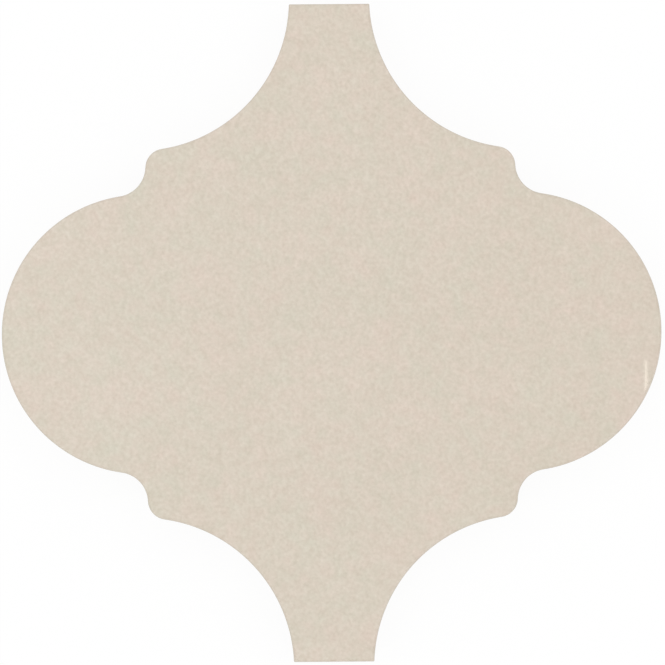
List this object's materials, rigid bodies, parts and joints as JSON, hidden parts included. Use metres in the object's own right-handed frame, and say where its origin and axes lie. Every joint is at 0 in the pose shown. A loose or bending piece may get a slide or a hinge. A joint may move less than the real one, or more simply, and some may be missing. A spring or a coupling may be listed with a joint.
{
  "type": "wall tile",
  "caption": "Arabesque (lantern-shaped) gloss-glazed ceramic wall tile: round lobes, stepped shoulders, narrow necks, eased face edge and keyed back; copies nest with an even joint.",
  "frame": {"origin": "middle of the keyed back, on the plane that the tile beds on", "axes": "+X from lobe to lobe, +Y from neck to neck, +Z out of the glazed face"},
  "size_m": [0.12, 0.1196, 0.0085],
  "materials": {
    "glazed_body": "gloss"
  },
  "bodies": {
    "root": {"wall_tile": "glazed_body"}
  },
  "joints": []
}
